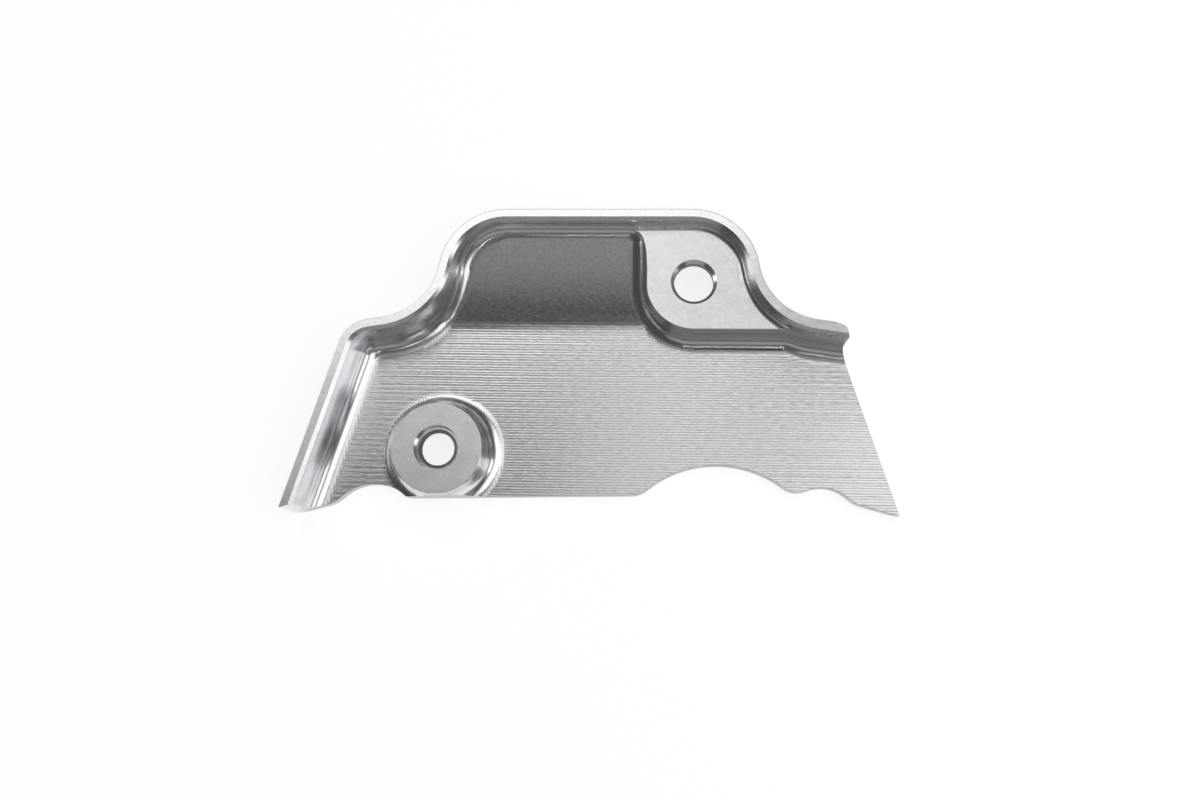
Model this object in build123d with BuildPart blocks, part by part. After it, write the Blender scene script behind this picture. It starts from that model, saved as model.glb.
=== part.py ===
from build123d import *
import os
from math import cos, radians, sin, tan

os.makedirs("parts", exist_ok=True)

# Cover for a gear position sensor, milled from one block of aluminium plate.
# It lies on its flat outer face with the pocket up. X runs along the cover, Y towards the hump,
# Z out of the pocket. The origin is the middle of its length and width, on the outer face.
# Lengths are in millimetres and angles in degrees.

# Overall size
length = 100.8
width = 50.5
height = 11.5
floor_thickness = 2.2

# Hump over the sensor, with a crown arc and a waist arc on each side of a flat top
hump_x = 0.4
hump_flat_to_end = 34.9
crown_radius = 11.15
waist_radius = 11.15
flank_angle = 81.4
shoulder_angle = 8.2
shoulder_corner_radius = 5.4
side_angle = 73.5

# Rim round the pocket
rim_flat_width = 1.35
rim_chamfer = 0.55
rim_chamfer_angle = 45.0
right_rim_extra = 0.3
outer_edge_radius = 2.0

# Pocket: a floor, and a ramp that rises from it to the wall of the hump
ball_radius = 3.0
pocket_corner_radius = 3.3
ramp_angle = 20.5
ramp_foot_below_top = 18.05
ramp_blend_radius = 5.1

# Seat of the upper screw, a shelf that fills the right side of the hump
seat_height = 8.6
shelf_left_of_hole = 7.85
shelf_below_hole = 8.1
shelf_corner_radius = 7.8
shelf_foot_radius = 1.2
shelf_overrun = 2.0
upper_hole_right_of_crown_centre = 0.4
upper_hole_below_crown_centre = 0.6
upper_hole_radius = 3.3
upper_counterbore_radius = 5.5
upper_land = 2.0
upper_mouth_chamfer = 0.55

# Seat of the lower screw, a round boss on the floor
boss_radius = 7.5
lower_hole_from_left = (24.65, 10.35)
lower_hole_radius = 2.75
lower_counterbore_radius = 5.0
lower_land = 2.4
lower_mouth_radius = 3.78
lower_throat_radius = 3.17
lower_throat_depth = 0.8

# Lower edge, cut to clear the parts below it, and the slanted right end.
# Points and relief centres are given inward from the named end and up from the lowest point.
right_tip_rise = 0.6
right_end_angle = 72.3
lower_edge_from_left = (9.8, 2.65)
lower_edge_middle_from_right = (29.9, 3.9)
lower_edge_from_right = (9.9, 3.35)
left_relief_from_left = (13.2, -2.75)
left_relief_radius = 7.8
middle_relief_from_right = (29.9, -9.55)
middle_relief_radius = 18.35
right_relief_from_right = (12.7, -1.15)
right_relief_radius = 6.4
relief_end_radii = (5.0, 1.0, 4.2, 3.5, 5.0)

# Stock beyond the finished outline, removed when the ends are cut
stock = 12.0

# How far from a place or a direction still counts as on it
nearby = 0.01

half_length = length / 2
half_width = width / 2
top_y = half_width
foot_y = -half_width
stock_y = foot_y - stock
rim_width = rim_flat_width + rim_chamfer
side_run = 1 / tan(radians(side_angle))
hump_flat_length = length - 2 * hump_flat_to_end


def from_left(place):
    """Point given inward from the left end and up from the lowest point."""
    return Vector(-half_length + place[0], foot_y + place[1])


def from_right(place):
    """Point given inward from the right end and up from the lowest point."""
    return Vector(half_length - place[0], foot_y + place[1])


def side_start(side, inset):
    """Lower end of the slanted side, moved in from the outline by the inset."""
    run_in = inset / sin(radians(side_angle))
    reach = half_length + hump_x - run_in + (foot_y - stock_y) * side_run
    return (hump_x + side * reach, stock_y)


def wall_region(inset, right_drop=0.0, open_right=False):
    """Area inside a wall that runs round the hump at a distance from the outline."""
    crown = crown_radius - inset
    waist = waist_radius + inset
    corners = []
    with BuildSketch() as region:
        with BuildLine():
            half_flat = hump_flat_length / 2
            top_left = (hump_x - half_flat, top_y - inset)
            top_right = (hump_x + half_flat, top_y - inset)
            Line(top_left, top_right)
            feet = []
            for side, start, drop in ((-1, top_left, 0.0), (1, top_right, right_drop)):
                shoulder_start = JernArc(start, (side, 0), crown, -side * flank_angle)
                if drop > 0:
                    shoulder_start = PolarLine(shoulder_start @ 1, drop, direction=shoulder_start % 1)
                waist_arc = JernArc(
                    shoulder_start @ 1,
                    shoulder_start % 1,
                    waist,
                    side * (flank_angle - shoulder_angle),
                )
                foot = Vector(*side_start(side, inset))
                if side > 0 and open_right:
                    side_limit = Line(foot + Vector(stock, 0), foot + Vector(stock, width + 2 * stock),
                                      mode=Mode.PRIVATE)
                    foot = side_limit @ 0
                else:
                    up_side = Vector(-side * cos(radians(side_angle)), sin(radians(side_angle)))
                    side_limit = Line(foot, foot + up_side * 2 * width, mode=Mode.PRIVATE)
                shoulder = IntersectingLine(waist_arc @ 1, waist_arc % 1, side_limit)
                Line(shoulder @ 1, foot)
                corners.append(shoulder @ 1)
                feet.append(foot)
            Line(feet[0], feet[1])
        make_face()
        if open_right:
            corners.pop()
        for corner in corners:
            fillet(region.vertices().sort_by_distance(corner)[0], shoulder_corner_radius - inset)
    return region.sketch


upper_hole_x = hump_x + hump_flat_length / 2 + upper_hole_right_of_crown_centre
upper_hole_y = top_y - crown_radius - upper_hole_below_crown_centre
lower_hole = from_left(lower_hole_from_left)
shelf_left_x = upper_hole_x - shelf_left_of_hole
shelf_lower_y = upper_hole_y - shelf_below_hole
ramp_foot_y = top_y - ramp_foot_below_top
pocket_wall = wall_region(rim_width, right_rim_extra, open_right=True)

with BuildSketch() as floor_region:
    add(pocket_wall)
    with BuildLine():
        Polyline(
            (shelf_left_x, top_y),
            (shelf_left_x, shelf_lower_y),
            (half_length + 2 * stock, shelf_lower_y),
            (half_length + 2 * stock, top_y),
            close=True,
        )
    make_face(mode=Mode.SUBTRACT)
    shelf_corner = floor_region.vertices().sort_by_distance((shelf_left_x, shelf_lower_y))[0]
    fillet(shelf_corner, shelf_corner_radius)
    shelf_top_end = floor_region.vertices().sort_by_distance((shelf_left_x, top_y - rim_width))[0]
    fillet(shelf_top_end, pocket_corner_radius)
    on_shelf_edge = floor_region.vertices().filter_by_position(
        Axis.Y, shelf_lower_y - nearby, shelf_lower_y + nearby
    )
    fillet(on_shelf_edge.sort_by(Axis.X)[-1], pocket_corner_radius)
    with Locations(lower_hole):
        Circle(boss_radius, mode=Mode.SUBTRACT)

# Volume that a ball-nosed cutter clears: floor, ramp and the round foot of every wall
with BuildPart() as floor_pocket:
    with BuildSketch(Plane.XY.offset(floor_thickness)):
        add(floor_region.sketch)
    extrude(amount=2 * height)
    with BuildSketch(Plane.YZ) as ramp_section:
        with BuildLine():
            ramp_rise = (top_y + stock - ramp_foot_y) * tan(radians(ramp_angle))
            Polyline(
                (stock_y - stock, floor_thickness),
                (ramp_foot_y, floor_thickness),
                (top_y + stock, floor_thickness + ramp_rise),
                (top_y + stock, 3 * height),
                (stock_y - stock, 3 * height),
                close=True,
            )
        make_face()
        ramp_foot = ramp_section.vertices().sort_by_distance((0, ramp_foot_y, floor_thickness))[0]
        fillet(ramp_foot, ramp_blend_radius)
    extrude(amount=2 * length, both=True, mode=Mode.INTERSECT)
    ground = floor_pocket.faces().filter_by(lambda face: face.normal_at().Z < -nearby)
    walls = floor_pocket.faces().filter_by(lambda face: abs(face.normal_at().Z) < nearby)
    fillet(ground.edges() & walls.edges(), ball_radius)

# Volume that a flat cutter clears above the shelf of the upper screw
with BuildPart() as shelf_pocket:
    with BuildSketch(Plane.XY.offset(seat_height)):
        add(pocket_wall)
        with BuildLine():
            cut_left_x = shelf_left_x - shelf_overrun
            Polyline(
                (cut_left_x, top_y),
                (-2 * length, top_y),
                (-2 * length, stock_y - stock),
                (cut_left_x, stock_y - stock),
                close=True,
            )
        make_face(mode=Mode.SUBTRACT)
    extrude(amount=height)
    shelf_face = shelf_pocket.faces().sort_by(Axis.Z)[0]
    fillet(shelf_face.edges().filter_by(Axis.Y, reverse=True), shelf_foot_radius)

# Bevel round the mouth of the pocket
with BuildPart() as mouth_bevel:
    with BuildSketch(Plane.XY.offset(height)):
        add(wall_region(rim_flat_width, right_rim_extra, open_right=True))
    extrude(amount=-rim_chamfer, taper=rim_chamfer_angle)

# Block with the plan of the finished cover: lower edge with three reliefs, and slanted right end
left_tip = from_left((0, 0))
right_tip = from_right((0, right_tip_rise))
lower_edge_left = from_left(lower_edge_from_left)
right_relief_centre = from_right(right_relief_from_right)
up_right_end = Vector(-cos(radians(right_end_angle)), sin(radians(right_end_angle)))
with BuildPart() as finished_block:
    with BuildSketch():
        with BuildLine():
            Polyline(
                left_tip * 2 - lower_edge_left,
                lower_edge_left,
                from_right(lower_edge_middle_from_right),
                right_relief_centre,
                from_right(lower_edge_from_right),
                right_tip,
                right_tip + up_right_end * 2 * width,
                (-length, 2 * width),
                close=True,
            )
        make_face()
        for centre, radius in (
            (from_left(left_relief_from_left), left_relief_radius),
            (from_right(middle_relief_from_right), middle_relief_radius),
            (right_relief_centre, right_relief_radius),
        ):
            with Locations(centre):
                Circle(radius, mode=Mode.SUBTRACT)
    extrude(amount=height)
    upright_edges = finished_block.edges().filter_by(Axis.Z)
    lower_edges = upright_edges.filter_by_position(Axis.Y, stock_y, right_tip.Y + stock)
    relief_ends = lower_edges.sort_by(Axis.X)[1:-1]
    for relief_end, radius in zip(relief_ends, relief_end_radii):
        fillet(finished_block.edges().sort_by_distance(relief_end.center())[0], radius)

with BuildPart() as sensor_cover:
    with BuildSketch():
        add(wall_region(0))
    extrude(amount=height)
    outer_face = sensor_cover.faces().sort_by(Axis.Z)[0]
    stock_edge = outer_face.edges().sort_by(Axis.Y)[0]
    fillet(outer_face.edges() - ShapeList([stock_edge]), outer_edge_radius)
    add(floor_pocket.part, mode=Mode.SUBTRACT)
    add(shelf_pocket.part, mode=Mode.SUBTRACT)
    add(mouth_bevel.part, mode=Mode.SUBTRACT)
    with BuildSketch(Plane.XY.offset(seat_height)):
        with Locations(lower_hole):
            Circle(boss_radius + ball_radius)
    extrude(amount=height, mode=Mode.SUBTRACT)
    add(finished_block.part, mode=Mode.INTERSECT)

    from_outer_face = (180, 0, 0)
    with Locations(Location((upper_hole_x, upper_hole_y, 0), from_outer_face)):
        CounterBoreHole(upper_hole_radius, upper_counterbore_radius, seat_height - upper_land)
    with Locations((upper_hole_x, upper_hole_y, seat_height - upper_mouth_chamfer / 2)):
        Cone(
            upper_hole_radius,
            upper_hole_radius + upper_mouth_chamfer,
            upper_mouth_chamfer,
            mode=Mode.SUBTRACT,
        )
    with Locations(Location((lower_hole.X, lower_hole.Y, 0), from_outer_face)):
        CounterBoreHole(lower_hole_radius, lower_counterbore_radius, seat_height - lower_land)
    lower_bevel_depth = lower_mouth_radius - lower_throat_radius
    throat_top = seat_height - lower_bevel_depth
    with Locations((lower_hole.X, lower_hole.Y, seat_height - lower_bevel_depth / 2)):
        Cone(lower_throat_radius, lower_mouth_radius, lower_bevel_depth, mode=Mode.SUBTRACT)
    with Locations((lower_hole.X, lower_hole.Y, throat_top - lower_throat_depth / 2)):
        Cone(lower_hole_radius, lower_throat_radius, lower_throat_depth, mode=Mode.SUBTRACT)

sensor_cover.part.label = "sensor_cover"
export_step(sensor_cover.part, "parts/sensor_cover.step")
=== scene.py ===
import math

import bmesh
import bpy
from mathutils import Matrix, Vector, noise


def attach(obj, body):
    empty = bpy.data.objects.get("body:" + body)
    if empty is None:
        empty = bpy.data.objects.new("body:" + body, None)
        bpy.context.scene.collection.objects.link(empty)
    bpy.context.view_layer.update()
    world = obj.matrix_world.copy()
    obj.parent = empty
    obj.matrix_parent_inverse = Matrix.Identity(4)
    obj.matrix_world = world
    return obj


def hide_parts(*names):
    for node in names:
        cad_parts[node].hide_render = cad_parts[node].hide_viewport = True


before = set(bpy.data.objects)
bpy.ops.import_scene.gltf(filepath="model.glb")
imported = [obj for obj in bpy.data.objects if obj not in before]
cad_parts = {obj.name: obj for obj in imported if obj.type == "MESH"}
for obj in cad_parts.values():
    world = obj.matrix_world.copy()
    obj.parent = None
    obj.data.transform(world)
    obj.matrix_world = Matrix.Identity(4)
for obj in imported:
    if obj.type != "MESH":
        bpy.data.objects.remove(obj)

bl_info = {
    "name": "Gear position sensor cover",
    "version": (1, 0, 0),
    "blender": (4, 5, 0),
    "location": "3D View > Sidebar > Sensor cover",
    "description": "Finishes the milled aluminium cover and sets the studio that it lies in",
    "category": "Object",
}

MM = 0.001
COVER = "sensor_cover"

# Heights of the cover's flat faces over its outer face
FLOOR_Z = 2.2 * MM
SEAT_Z = 8.6 * MM
RIM_Z = 11.5 * MM

# Ramp: its lower end, its slope, and a little over half the length of the round blend at its foot
RAMP_FOOT_Y = 7.2 * MM
RAMP_ANGLE = math.radians(20.5)
RAMP_BLEND = 1.0 * MM

# The floor's passes run out on the walls' round feet, up to this slope and this height over the floor
FOOT_ANGLE = math.radians(9)
FOOT_HEIGHT = 0.1 * MM

# Slanted right end: its angle to the length of the cover, and a place to the left of all of it
RIGHT_END_ANGLE = math.radians(72.3)
RIGHT_END_X = 35 * MM

# Two directions are taken as one where their dot product is over this
ALIGNED = 0.9999

# Two heights are taken as one where they differ by less than this
HEIGHT_SLACK = 0.01 * MM

# How far the normal of a face may be from having no part along X, and from the chamfer's 45 degrees
SIDE_SLACK = 0.001
CHAMFER_SLACK = 0.02

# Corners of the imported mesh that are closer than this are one
WELD = 0.001 * MM

# Rows of faces across one pass of the cutter, and a step that gives each pass a lean of its own
ROWS_PER_PASS = 6
LEAN_STEP = 3.71

# Distance of every light panel from the cover, straight up or level
PANEL_DISTANCE = 0.8

# Studio floor: half the length of its sides, and how far it lies under the cover
FLOOR_HALF = 1.5
FLOOR_GAP = 0.02 * MM

SMOOTH = {"interpolation_type": "SMOOTHSTEP"}


def linear(colour):
    """Linear RGB of an sRGB hex colour."""
    channels = [int(colour[i : i + 2], 16) / 255 for i in (1, 3, 5)]
    return [c / 12.92 if c <= 0.04045 else ((c + 0.055) / 1.055) ** 2.4 for c in channels]


def add_node(tree, kind, settings=None, **links):
    """Adds a node. Inputs get a value or a socket, by name with _ for a space, or by n and a number."""
    node = tree.nodes.new(kind)
    for name, value in (settings or {}).items():
        setattr(node, name, value)
    for name, value in links.items():
        key = int(name[1:]) if name[0] == "n" and name[1:].isdigit() else name.replace("_", " ")
        if isinstance(value, bpy.types.NodeSocket):
            tree.links.new(value, node.inputs[key])
        else:
            node.inputs[key].default_value = value
    return node


def new_material(name):
    """Empty node material and its output node."""
    material = bpy.data.materials.new(name)
    material.use_nodes = True
    material.node_tree.nodes.clear()
    return material, material.node_tree.nodes.new("ShaderNodeOutputMaterial")


def milled_shader(tree, output, colour, roughness, height, depth):
    """Bare metal with a colour, a roughness and a height, each a value or a socket."""
    bump = add_node(tree, "ShaderNodeBump", Height=height, Distance=depth, Strength=1.0)
    shader = add_node(tree, "ShaderNodeBsdfPrincipled", Metallic=1.0, Base_Color=colour,
                      Roughness=roughness, Normal=bump.outputs[0])
    tree.links.new(shader.outputs[0], output.inputs[0])


def metal(finish):
    """Colour of the bare aluminium."""
    return [*linear(finish.metal_colour_hex), 1]


def darker(tree, colour, value, share, low=0.35, high=0.65):
    """A colour, darker by a share where a value is low."""
    dark = [(1 - share) * c for c in colour[:3]] + [1]
    fall = add_node(tree, "ShaderNodeMapRange", Value=value, From_Min=low, From_Max=high)
    blend = add_node(tree, "ShaderNodeMix", {"data_type": "RGBA"}, n0=fall.outputs[0], n6=dark, n7=colour)
    return blend.outputs[2]


def around(tree, pattern, middle, spread):
    """Spreads a noise pattern, which mostly lies between 0.3 and 0.7, evenly about a middle value."""
    ranged = add_node(tree, "ShaderNodeMapRange", {"clamp": False}, Value=pattern.outputs["Fac"],
                      From_Min=0.3, From_Max=0.7, To_Min=middle - spread, To_Max=middle + spread)
    return ranged.outputs[0]


def stretched(tree, squeeze, turn=0.0):
    """Object place turned about Z and squeezed along X, for marks that are longer along X than across."""
    place = add_node(tree, "ShaderNodeTexCoord")
    mapping = add_node(tree, "ShaderNodeMapping", {"vector_type": "POINT"},
                       Vector=place.outputs["Object"], Rotation=(0, 0, turn), Scale=(squeeze, 1, 1))
    return mapping.outputs[0]


def wave_scale(pitch):
    """Scale at which a wave pattern has one band in a distance."""
    return math.pi / (10 * pitch)


def face_milled(finish, name, roughness):
    """Flat left by the face or the edge of a cutter: a fine satin grain over a faint cloudy mottling."""
    material, output = new_material(name)
    tree = material.node_tree
    place = stretched(tree, 0.7)
    cloud_size = 1.6 * MM
    # The real grain is a few hundredths of a millimetre, and is drawn this coarse so that it shows
    grain_size = 0.3 * MM
    cloud = add_node(tree, "ShaderNodeTexNoise", Vector=place, Scale=1 / cloud_size,
                     Detail=5.0, Roughness=0.7)
    grain = add_node(tree, "ShaderNodeTexNoise", Vector=place, Scale=1 / grain_size,
                     Detail=4.0, Roughness=0.8)
    patches = add_node(tree, "ShaderNodeMath", {"operation": "MULTIPLY_ADD"}, n0=cloud.outputs["Fac"],
                       n1=0.8, n2=grain.outputs["Fac"])
    colour = darker(tree, metal(finish), patches.outputs[0], share=0.22, low=0.65, high=1.15)
    milled_shader(tree, output, colour, around(tree, cloud, roughness, spread=0.03),
                  grain.outputs["Fac"], finish.grain_depth)
    return material


def fly_cut(finish):
    """Rim and outer face, cut in one sweep of a wide cutter: the smoothest of the flats."""
    return face_milled(finish, "fly_cut_aluminium", finish.rim_roughness)


def spot_faced(finish):
    """Seats of the two screws, cut with the tip of an end mill: an even soft satin."""
    return face_milled(finish, "spot_faced_aluminium", finish.seat_roughness)


def chamfer_milled(finish):
    """Chamfer inside the rim, cut by the slanted edge of a tool: a dull satin."""
    return face_milled(finish, "chamfered_aluminium", finish.chamfer_roughness)


def raster_milled(finish, sizes):
    """Floor cut by a ball-nosed cutter in close passes: fine lines between them, a little torn, with painted
    shade in their low parts.
    """
    material, output = new_material("raster_milled_aluminium")
    tree = material.node_tree
    along = stretched(tree, 0.16, sizes.pass_turn)
    # The real tears are shorter and finer, and are drawn this coarse so that they show
    tear_size = 0.22 * MM
    torn = add_node(tree, "ShaderNodeTexNoise", Vector=along, Scale=1 / tear_size,
                    Detail=4.0, Roughness=0.8)
    lines = add_node(tree, "ShaderNodeTexWave", {"bands_direction": "Y"}, Vector=along,
                     Scale=wave_scale(sizes.pass_pitch), Distortion=1.2, Detail=2.0)
    marks = add_node(tree, "ShaderNodeMath", {"operation": "MULTIPLY_ADD"}, n0=lines.outputs["Fac"],
                     n1=0.3, n2=torn.outputs["Fac"])
    # Painted shade: the low parts of the pass lines and tears are coloured darker, on top of their real bump
    colour = darker(tree, metal(finish), marks.outputs[0], share=0.55, low=0.35, high=0.95)
    milled_shader(tree, output, colour, around(tree, torn, finish.floor_roughness, spread=0.06),
                  marks.outputs[0], finish.streak_depth)
    return material


def ramp_milled(finish):
    """Ramp finished in very close passes: an even dark satin with a fine grain."""
    material, output = new_material("ramp_milled_aluminium")
    tree = material.node_tree
    along = stretched(tree, 0.9)
    cloud_size = 0.6 * MM
    # The real grain is a few hundredths of a millimetre, and is drawn this coarse so that it shows
    grain_size = 0.2 * MM
    cloud = add_node(tree, "ShaderNodeTexNoise", Vector=along, Scale=1 / cloud_size,
                     Detail=6.0, Roughness=0.85)
    grain = add_node(tree, "ShaderNodeTexNoise", Vector=along, Scale=1 / grain_size, Detail=2.0)
    colour = darker(tree, metal(finish), cloud.outputs["Fac"], share=0.3)
    milled_shader(tree, output, colour, around(tree, cloud, finish.ramp_roughness, spread=0.03),
                  grain.outputs["Fac"], 0.6 * finish.grain_depth)
    return material


def side_milled(finish):
    """Walls and their round feet, cut by the side of the cutter: a smooth soft shine."""
    material, output = new_material("side_milled_aluminium")
    tree = material.node_tree
    place = add_node(tree, "ShaderNodeTexCoord").outputs["Object"]
    cloud_size = 0.9 * MM
    cloud = add_node(tree, "ShaderNodeTexNoise", Vector=place, Scale=1 / cloud_size,
                     Detail=4.0, Roughness=0.6)
    # One mark for each step of the cutter's feed, fading out where a wall turns away from lying along X
    marks = add_node(tree, "ShaderNodeTexWave", {"bands_direction": "X"}, Vector=place,
                     Scale=wave_scale(finish.feed_pitch), Distortion=0.6, Detail=1.0)
    facing = add_node(tree, "ShaderNodeSeparateXYZ",
                      Vector=add_node(tree, "ShaderNodeNewGeometry").outputs["True Normal"])
    sideways = add_node(tree, "ShaderNodeMath", {"operation": "ABSOLUTE"}, n0=facing.outputs["X"])
    depth = add_node(tree, "ShaderNodeMapRange", Value=sideways.outputs[0], From_Min=0.05, From_Max=0.3,
                     To_Min=finish.feed_depth / finish.wall_ripple, To_Max=0.0)
    ripple = add_node(tree, "ShaderNodeMath", {"operation": "MULTIPLY_ADD"}, n0=marks.outputs["Fac"],
                      n1=depth.outputs[0], n2=cloud.outputs["Fac"])
    milled_shader(tree, output, metal(finish), around(tree, cloud, finish.wall_roughness, spread=0.03),
                  ripple.outputs[0], finish.wall_ripple)
    return material


FACE, SEAT, RASTER, RAMP, CHAMFER, SIDE = range(6)


def cover_finishes(finish, sizes):
    """Materials of the cover, in the order of their numbers."""
    return (fly_cut(finish), spot_faced(finish), raster_milled(finish, sizes), ramp_milled(finish),
            chamfer_milled(finish), side_milled(finish))


def level_at(face, height):
    """Whether a face is level, looks up and lies at a height."""
    return face.normal.z > ALIGNED and abs(face.calc_center_median().z - height) < HEIGHT_SLACK


def on_blend(face):
    """Whether a face is part of the round blend between the floor and the ramp."""
    middle = face.calc_center_median()
    turned_about_x = abs(face.normal.x) < SIDE_SLACK and face.normal.z > math.cos(RAMP_ANGLE)
    return turned_about_x and middle.z < SEAT_Z and abs(middle.y - RAMP_FOOT_Y) < RAMP_BLEND


def on_foot(face):
    """Whether a face is the start of a wall's round foot, other than one that looks to the right end."""
    low = face.calc_center_median().z < FLOOR_Z + FOOT_HEIGHT
    sideways = math.hypot(face.normal.x, face.normal.y)
    return low and math.cos(FOOT_ANGLE) < face.normal.z < ALIGNED and face.normal.x < 0.5 * sideways


def finish_of(face):
    """Which of the finishes a face of the cover has."""
    over_seats = face.calc_center_median().z > SEAT_Z + WELD
    if face.normal.dot((0, -math.sin(RAMP_ANGLE), math.cos(RAMP_ANGLE))) > ALIGNED:
        return RAMP
    if level_at(face, FLOOR_Z) or on_blend(face) or on_foot(face):
        return RASTER
    if level_at(face, SEAT_Z):
        return SEAT
    if abs(face.normal.z) > ALIGNED:
        return FACE
    if over_seats and abs(face.normal.z - math.sqrt(0.5)) < CHAMFER_SLACK:
        return CHAMFER
    return SIDE


def across_passes(place, sizes):
    """Distance of a place across the cutter's passes."""
    return place.x * math.sin(sizes.pass_turn) + place.y * math.cos(sizes.pass_turn)


def pass_height(across, sizes):
    """Height that the cutter's passes leave over the floor at a distance across them."""
    number, share = divmod(across / sizes.pass_pitch, 1.0)
    offset = (share - 0.5) * sizes.pass_pitch
    step = sizes.pass_step if number % 2 else 0.0
    lean = sizes.pass_lean * noise.noise((LEAN_STEP * number, 0.0, 0.0))
    return offset * offset / (2 * sizes.ball_radius) + step + math.tan(lean) * offset


def cut_passes(bm, sizes):
    """Cuts the floor into the rows of the cutter's passes and gives each row its height."""
    row = sizes.pass_pitch / ROWS_PER_PASS
    ahead = [f for f in bm.faces if f.material_index == RASTER]
    low = min(across_passes(v.co, sizes) for f in ahead for v in f.verts)
    high = max(across_passes(v.co, sizes) for f in ahead for v in f.verts)
    over_passes = Vector((math.sin(sizes.pass_turn), math.cos(sizes.pass_turn), 0))
    for number in range(math.ceil(low / row), math.floor(high / row) + 1):
        parts = set(ahead)
        for face in ahead:
            parts.update(face.verts)
            parts.update(face.edges)
        cut = bmesh.ops.bisect_plane(bm, geom=list(parts), dist=0.5 * WELD,
                                     plane_co=over_passes * number * row, plane_no=over_passes)
        faces = [g for g in cut["geom"] if isinstance(g, bmesh.types.BMFace)]
        ahead = [f for f in faces if max(across_passes(v.co, sizes) for v in f.verts) > number * row + WELD]
    for vert in bm.verts:
        if any(f.material_index == RASTER for f in vert.link_faces):
            vert.co.z += pass_height(across_passes(vert.co, sizes), sizes)


def corners(bm, angle):
    """Edges at which the surface turns by more than an angle."""
    return [e for e in bm.edges if e.calc_face_angle(0) > angle]


def break_edge(bm, edges, width):
    """Takes sharp edges off over a width on each side."""
    bmesh.ops.bevel(bm, geom=edges, offset=width, offset_type="OFFSET", segments=1,
                    profile=0.5, affect="EDGES", clamp_overlap=False, material=SIDE)


def cut_end(face):
    """Whether a face is at one of the ends at which the cover's rim is cut off."""
    along_right_end = face.normal.dot((math.sin(RIGHT_END_ANGLE), math.cos(RIGHT_END_ANGLE), 0)) > ALIGNED
    at_right_end = along_right_end and face.calc_center_median().x > RIGHT_END_X
    at_lower_edge = face.normal.y < -0.5
    return at_right_end or at_lower_edge


def break_edges(bm, sizes):
    """Takes the sharp edges off a little, as deburring does, and the rim's outer edge more."""
    # The rim's outer edge turns by 90 degrees, and the two edges of its chamfer by 45
    upright = math.radians(80)
    outer = [e for e in corners(bm, upright) if all(v.co.z > RIM_Z - WELD for v in e.verts)
             and not any(cut_end(f) for f in e.link_faces)]
    break_edge(bm, outer, sizes.rim_break)
    break_edge(bm, corners(bm, sizes.corner_angle), sizes.edge_break)


def cover_mesh(sizes):
    """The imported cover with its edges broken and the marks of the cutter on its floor."""
    bm = bmesh.new()
    bm.from_mesh(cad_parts[COVER].data)
    bmesh.ops.remove_doubles(bm, verts=bm.verts, dist=WELD)
    for face in bm.faces:
        face.material_index = finish_of(face)
        face.smooth = True
    break_edges(bm, sizes)
    cut_passes(bm, sizes)
    bm.normal_update()
    for edge in corners(bm, sizes.sharp_angle):
        edge.smooth = False
    mesh = bpy.data.meshes.new("milled_cover")
    bm.to_mesh(mesh)
    bm.free()
    return mesh


class CoverSizes(bpy.types.PropertyGroup):
    ball_radius: bpy.props.FloatProperty(
        name="Ball radius", description="Radius of the ball-nosed cutter of the floor",
        default=3.0 * MM, unit="LENGTH", precision=5)
    pass_pitch: bpy.props.FloatProperty(
        name="Pass pitch", description="Distance between two passes of the cutter on the floor",
        default=0.455 * MM, unit="LENGTH", precision=6)
    pass_step: bpy.props.FloatProperty(
        name="Pass step", description="Height between passes cut on the way out and back",
        default=0.005 * MM, unit="LENGTH", precision=6)
    pass_lean: bpy.props.FloatProperty(
        name="Pass lean", description="Most that a pass leans to one side",
        default=math.radians(3.0), subtype="ANGLE")
    pass_turn: bpy.props.FloatProperty(
        name="Pass turn", description="Turn of the passes from the length of the cover, clockwise",
        default=math.radians(0.65), subtype="ANGLE")
    rim_break: bpy.props.FloatProperty(
        name="Rim break", description="Width that deburring takes off the rim's outer edge, on each side",
        default=0.15 * MM, unit="LENGTH", precision=6)
    edge_break: bpy.props.FloatProperty(
        name="Edge break", description="Width that deburring takes off a sharp edge, on each side",
        default=0.06 * MM, unit="LENGTH", precision=6)
    corner_angle: bpy.props.FloatProperty(
        name="Corner angle", description="Deburring takes off the edges that turn by more than this",
        default=math.radians(50), subtype="ANGLE")
    sharp_angle: bpy.props.FloatProperty(
        name="Sharp angle", description="Edges that turn by more than this are shown sharp",
        default=math.radians(28), subtype="ANGLE")


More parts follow.
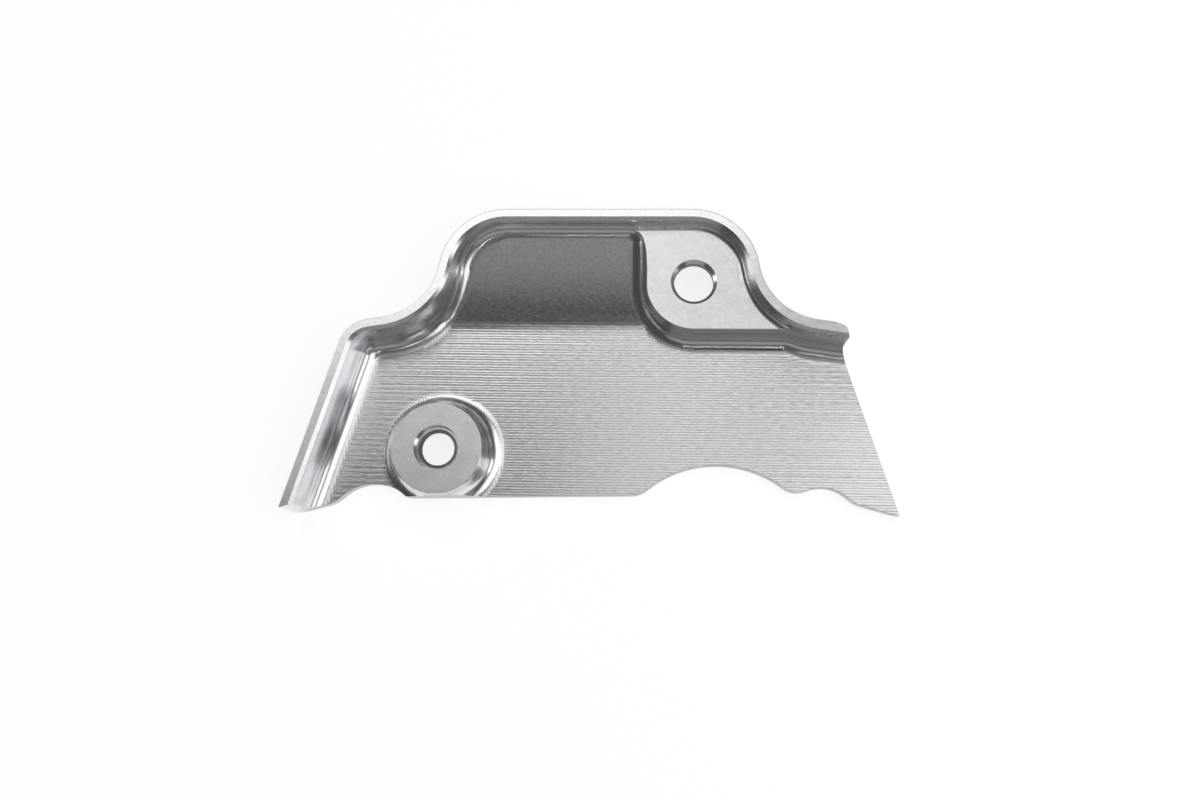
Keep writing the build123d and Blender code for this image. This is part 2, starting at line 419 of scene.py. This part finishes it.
class CoverFinish(bpy.types.PropertyGroup):
    metal_colour_hex: bpy.props.StringProperty(
        name="Aluminium", description="Colour of the bare metal, as sRGB hex", default="#F0F1F3")
    rim_roughness: bpy.props.FloatProperty(
        name="Rim", description="Roughness of the rim's flat and the outer face", default=0.18)
    seat_roughness: bpy.props.FloatProperty(
        name="Seats", description="Roughness of the two screw seats", default=0.3)
    chamfer_roughness: bpy.props.FloatProperty(
        name="Chamfer", description="Roughness of the chamfer inside the rim", default=0.28)
    floor_roughness: bpy.props.FloatProperty(
        name="Floor", description="Roughness of the raster-milled floor", default=0.22)
    ramp_roughness: bpy.props.FloatProperty(
        name="Ramp", description="Roughness of the ramp", default=0.12)
    wall_roughness: bpy.props.FloatProperty(
        name="Walls", description="Roughness of the side-milled walls", default=0.23)
    grain_depth: bpy.props.FloatProperty(
        name="Grain", description="Depth of the fine grain on the flats; the ramp has 0.6 of it",
        default=0.006 * MM, unit="LENGTH", precision=6)
    streak_depth: bpy.props.FloatProperty(
        name="Streaks", description="Depth of the streaks along the floor's passes",
        default=0.01 * MM, unit="LENGTH", precision=6)
    wall_ripple: bpy.props.FloatProperty(
        name="Ripple", description="Depth of the faint waviness of the walls",
        default=0.001 * MM, unit="LENGTH", precision=6)
    feed_pitch: bpy.props.FloatProperty(
        name="Feed pitch", description="Distance between the marks of the cutter's feed on the walls",
        default=0.43 * MM, unit="LENGTH", precision=6)
    feed_depth: bpy.props.FloatProperty(
        name="Feed depth", description="Depth of the marks of the cutter's feed",
        default=0.012 * MM, unit="LENGTH", precision=6)


class StudioSettings(bpy.types.PropertyGroup):
    camera_place: bpy.props.FloatVectorProperty(
        name="Camera", description="Where the camera stands, over the cover's lower edge",
        default=(9.08 * MM, -41.22 * MM, 185.5 * MM), subtype="XYZ_LENGTH", precision=5)
    camera_turn: bpy.props.FloatVectorProperty(
        name="Camera turn", description="Turn of the camera from looking straight down",
        default=[math.radians(a) for a in (11.059, 2.452, 0.94)], subtype="EULER")
    lens: bpy.props.FloatProperty(
        name="Lens", description="Focal length on a sensor 36 mm wide, in millimetres", default=33.0)
    back_level: bpy.props.FloatProperty(
        name="Back panels", description="Brightness of the panels at the back, where 1 is white", default=1.3)
    far_left_level: bpy.props.FloatProperty(
        name="Far left panel", description="Brightness of the panel far on the left", default=0.55)
    left_level: bpy.props.FloatProperty(
        name="Left panel", description="Brightness of the panel on the left", default=0.31)
    middle_level: bpy.props.FloatProperty(
        name="Middle panel", description="Brightness of the panel straight over the cover", default=0.9)
    right_level: bpy.props.FloatProperty(
        name="Right panels", description="Brightness of the panels on the right", default=1.3)
    side_level: bpy.props.FloatProperty(
        name="Side walls", description="Brightness of the small white walls right and left", default=2.4)
    front_level: bpy.props.FloatProperty(
        name="Front panel", description="Brightness of the dim panel in front", default=0.24)
    front_wall_level: bpy.props.FloatProperty(
        name="Front wall", description="Brightness of the dim wall in front", default=0.27)
    strip_level: bpy.props.FloatProperty(
        name="Front strip", description="Brightness of the strip light in front", default=18.0)
    room_top: bpy.props.FloatProperty(
        name="Room", description="Brightness of the dark room", default=0.06)
    room_side: bpy.props.FloatProperty(
        name="Room walls", description="Brightness of the walls on the left and right, low down", default=0.2)
    floor_glow: bpy.props.FloatProperty(
        name="Floor glow", description="Share of the floor's white that no shadow takes away", default=0.86)
    floor_colour_hex: bpy.props.StringProperty(
        name="Floor", description="Colour of the studio floor, as sRGB hex", default="#FDFDFD")


class COVER_OT_milled_cover(bpy.types.Operator):
    """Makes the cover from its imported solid, with broken edges and the marks of the cutters"""

    bl_idname = "cover.milled_cover"
    bl_label = "Milled cover"

    def execute(self, context):
        sizes = context.scene.cover_sizes
        mesh = cover_mesh(sizes)
        for material in cover_finishes(context.scene.cover_finish, sizes):
            mesh.materials.append(material)
        cover = bpy.data.objects.new("milled_cover", mesh)
        context.scene.collection.objects.link(cover)
        weighted = cover.modifiers.new("plane_first", "WEIGHTED_NORMAL")
        weighted.keep_sharp = True
        weighted.mode = "FACE_AREA_WITH_ANGLE"
        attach(cover, "root")
        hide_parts(COVER)
        return {"FINISHED"}


def area_light(context, name, place, turn, size, level):
    """Area light whose brightness doesn't change with its size."""
    light = bpy.data.lights.new(name, "AREA")
    light.shape = "RECTANGLE"
    light.size, light.size_y = size
    light.energy = math.pi * size[0] * size[1] * level
    lamp = bpy.data.objects.new(name, light)
    context.scene.collection.objects.link(lamp)
    lamp.location = place
    lamp.rotation_euler = turn
    lamp.visible_camera = False


def reach(angles):
    """Where a panel starts and ends beside its middle line, for two angles at the cover in degrees."""
    return [PANEL_DISTANCE * math.tan(math.radians(a)) for a in angles]


def overhead_panel(context, name, to_right, to_back, level):
    """Level panel over the cover, between two angles to the right and two to the back of straight up."""
    left, right = reach(to_right)
    front, back = reach(to_back)
    place = ((left + right) / 2, (front + back) / 2, PANEL_DISTANCE)
    area_light(context, name, place, (0, 0, 0), (right - left, back - front), level)


def upright_panel(context, name, turn, heights, to_right, level):
    """Upright panel turned round the cover from the front, between two angles up and two to its right."""
    low, high = reach(heights)
    start, end = reach(to_right)
    turn = math.radians(turn)
    middle = (start + end) / 2
    place = (middle * math.cos(turn) + PANEL_DISTANCE * math.sin(turn),
             middle * math.sin(turn) - PANEL_DISTANCE * math.cos(turn), (low + high) / 2)
    area_light(context, name, place, (math.radians(90), 0, turn), (end - start, high - low), level)


def pale_floor_material(settings):
    """Matt white board that mostly glows by itself, so that only a faint shadow of the cover shows."""
    material, output = new_material("pale_studio_floor")
    tree = material.node_tree
    white = [*linear(settings.floor_colour_hex), 1]
    rays = add_node(tree, "ShaderNodeLightPath")
    surface = add_node(tree, "ShaderNodeNewGeometry")
    # In what the cover mirrors, the floor's glow is painted light: a painted shadow under the cover, white
    # beside it and dim further off
    painted_shadow_ao = add_node(tree, "ShaderNodeAmbientOcclusion", {"samples": 4}, Distance=20 * MM)
    squeezed = add_node(tree, "ShaderNodeVectorMath", {"operation": "MULTIPLY"},
                        n0=surface.outputs["Position"], n1=(0.5, 1, 1))
    away = add_node(tree, "ShaderNodeVectorMath", {"operation": "LENGTH"}, n0=squeezed.outputs[0])
    near = add_node(tree, "ShaderNodeMapRange", SMOOTH, Value=away.outputs["Value"],
                    From_Min=36 * MM, From_Max=60 * MM, To_Min=1.0, To_Max=0.1)
    # Painted shadow: the mirrored glow is darkened where the cover hides the floor
    sheet = add_node(tree, "ShaderNodeMath", {"operation": "MULTIPLY"},
                     n0=near.outputs[0], n1=painted_shadow_ao.outputs["AO"])
    mirrored = add_node(tree, "ShaderNodeMath", {"operation": "MULTIPLY"},
                        n0=rays.outputs["Is Glossy Ray"], n1=sheet.outputs[0])
    seen = add_node(tree, "ShaderNodeMath", {"operation": "MAXIMUM"},
                    n0=rays.outputs["Is Camera Ray"], n1=mirrored.outputs[0])
    through = add_node(tree, "ShaderNodeMath", {"operation": "MAXIMUM"},
                       n0=seen.outputs[0], n1=rays.outputs["Is Transmission Ray"])
    strength = add_node(tree, "ShaderNodeMath", {"operation": "MULTIPLY"},
                        n0=through.outputs[0], n1=settings.floor_glow)
    glow = add_node(tree, "ShaderNodeEmission", Color=white, Strength=strength.outputs[0])
    # The part of its white that takes the shadow
    matt = add_node(tree, "ShaderNodeBsdfDiffuse", Color=[0.35 * c for c in white[:3]] + [1])
    both = add_node(tree, "ShaderNodeAddShader", n0=glow.outputs[0], n1=matt.outputs[0])
    # From below it can be looked through
    clear = add_node(tree, "ShaderNodeBsdfTransparent")
    mix = add_node(tree, "ShaderNodeMixShader", n0=surface.outputs["Backfacing"],
                   n1=both.outputs[0], n2=clear.outputs[0])
    tree.links.new(mix.outputs[0], output.inputs[0])
    return material


def studio_floor(context, settings):
    """Square floor just under the cover."""
    material = pale_floor_material(settings)
    mesh = bpy.data.meshes.new("studio_floor")
    corner_signs = ((-1, -1), (1, -1), (1, 1), (-1, 1))
    mesh.from_pydata([(x * FLOOR_HALF, y * FLOOR_HALF, 0) for x, y in corner_signs], [], [(0, 1, 2, 3)])
    mesh.materials.append(material)
    floor = bpy.data.objects.new("studio_floor", mesh)
    floor.location.z = -FLOOR_GAP
    context.scene.collection.objects.link(floor)


def studio_world(context, settings):
    """Dark room with paler walls low down on the left and right, and white where the camera looks at it."""
    world = bpy.data.worlds.new("studio_room")
    world.use_nodes = True
    tree = world.node_tree
    tree.nodes.clear()
    output = tree.nodes.new("ShaderNodeOutputWorld")
    direction = add_node(tree, "ShaderNodeTexCoord")
    axes = add_node(tree, "ShaderNodeSeparateXYZ", Vector=direction.outputs["Generated"])
    to_side = add_node(tree, "ShaderNodeMath", {"operation": "ABSOLUTE"}, n0=axes.outputs["X"])
    sideways = add_node(tree, "ShaderNodeMapRange", SMOOTH, Value=to_side.outputs[0],
                        From_Min=0.4, From_Max=0.9)
    low = add_node(tree, "ShaderNodeMapRange", SMOOTH, Value=axes.outputs["Z"],
                   From_Min=0.06, From_Max=0.22, To_Min=1.0, To_Max=0.0)
    wall = add_node(tree, "ShaderNodeMath", {"operation": "MULTIPLY"},
                    n0=sideways.outputs[0], n1=low.outputs[0])
    level = add_node(tree, "ShaderNodeMapRange", Value=wall.outputs[0],
                     To_Min=settings.room_top, To_Max=settings.room_side)
    room = add_node(tree, "ShaderNodeBackground", Color=(1, 1, 1, 1), Strength=level.outputs[0])
    white = add_node(tree, "ShaderNodeBackground", Color=(1, 1, 1, 1), Strength=1.0)
    rays = add_node(tree, "ShaderNodeLightPath")
    mix = add_node(tree, "ShaderNodeMixShader", n0=rays.outputs["Is Camera Ray"],
                   n1=room.outputs[0], n2=white.outputs[0])
    tree.links.new(mix.outputs[0], output.inputs[0])
    context.scene.world = world


def studio_lights(context, settings):
    """Softboxes round the cover, placed by the angles in degrees that they take up seen from it."""
    overhead_panel(context, "back_left_panel", (-26, -8), (14, 45), settings.back_level)
    overhead_panel(context, "back_panel", (-8, 10), (17.2, 45), settings.back_level)
    overhead_panel(context, "far_left_panel", (-35, -16), (3, 14), settings.far_left_level)
    overhead_panel(context, "left_panel", (-16, -7), (2, 14), settings.left_level)
    overhead_panel(context, "middle_panel", (-6, 11), (-9, 15), settings.middle_level)
    overhead_panel(context, "right_panel", (11, 22), (-2, 14), settings.right_level)
    overhead_panel(context, "far_right_panel", (22, 52), (-42, 34), settings.right_level)
    overhead_panel(context, "front_panel", (-22, 6), (-23.5, -12), settings.front_level)
    overhead_panel(context, "front_strip", (7, 9.4), (-44.2, -40.2), settings.strip_level)
    upright_panel(context, "right_wall", 90, (12, 26), (-21, -3), settings.side_level)
    upright_panel(context, "left_wall", -90, (3, 12), (-16, 2), settings.side_level)
    upright_panel(context, "front_wall", 0, (10, 30), (-35, 35), settings.front_wall_level)


def studio_camera(context, settings):
    """Camera over the cover's lower edge, looking down at it."""
    camera_data = bpy.data.cameras.new("camera")
    camera_data.sensor_width = 36.0
    camera_data.lens = settings.lens
    camera_data.clip_start = 0.01
    camera = bpy.data.objects.new("camera", camera_data)
    camera.location = settings.camera_place
    camera.rotation_euler = settings.camera_turn
    context.scene.collection.objects.link(camera)
    context.scene.camera = camera


class COVER_OT_studio(bpy.types.Operator):
    """Sets the pale floor, the softboxes, the room and the camera"""

    bl_idname = "cover.studio"
    bl_label = "Studio"

    def execute(self, context):
        settings = context.scene.studio_settings
        studio_floor(context, settings)
        studio_world(context, settings)
        studio_lights(context, settings)
        studio_camera(context, settings)
        context.scene.view_settings.view_transform = "Standard"
        return {"FINISHED"}


class COVER_PT_panel(bpy.types.Panel):
    bl_label = "Sensor cover"
    bl_idname = "COVER_PT_panel"
    bl_space_type = "VIEW_3D"
    bl_region_type = "UI"
    bl_category = "Sensor cover"

    def draw(self, context):
        layout = self.layout
        for group, owner in GROUPS.items():
            box = layout.box()
            box.label(text=owner.bl_rna.name)
            settings = getattr(context.scene, group)
            for name in owner.__annotations__:
                box.prop(settings, name)
        for operator in OPERATORS:
            layout.operator(operator.bl_idname)


GROUPS = {"cover_sizes": CoverSizes, "cover_finish": CoverFinish, "studio_settings": StudioSettings}
OPERATORS = (COVER_OT_milled_cover, COVER_OT_studio)


def register():
    for owner in (*GROUPS.values(), *OPERATORS, COVER_PT_panel):
        bpy.utils.register_class(owner)
    for name, group in GROUPS.items():
        setattr(bpy.types.Scene, name, bpy.props.PointerProperty(type=group))


def unregister():
    for name in GROUPS:
        delattr(bpy.types.Scene, name)
    for owner in reversed((*GROUPS.values(), *OPERATORS, COVER_PT_panel)):
        bpy.utils.unregister_class(owner)


def main():
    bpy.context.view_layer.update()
    register()
    bpy.ops.cover.milled_cover()
    bpy.ops.cover.studio()


if __name__ == "__main__":
    main()
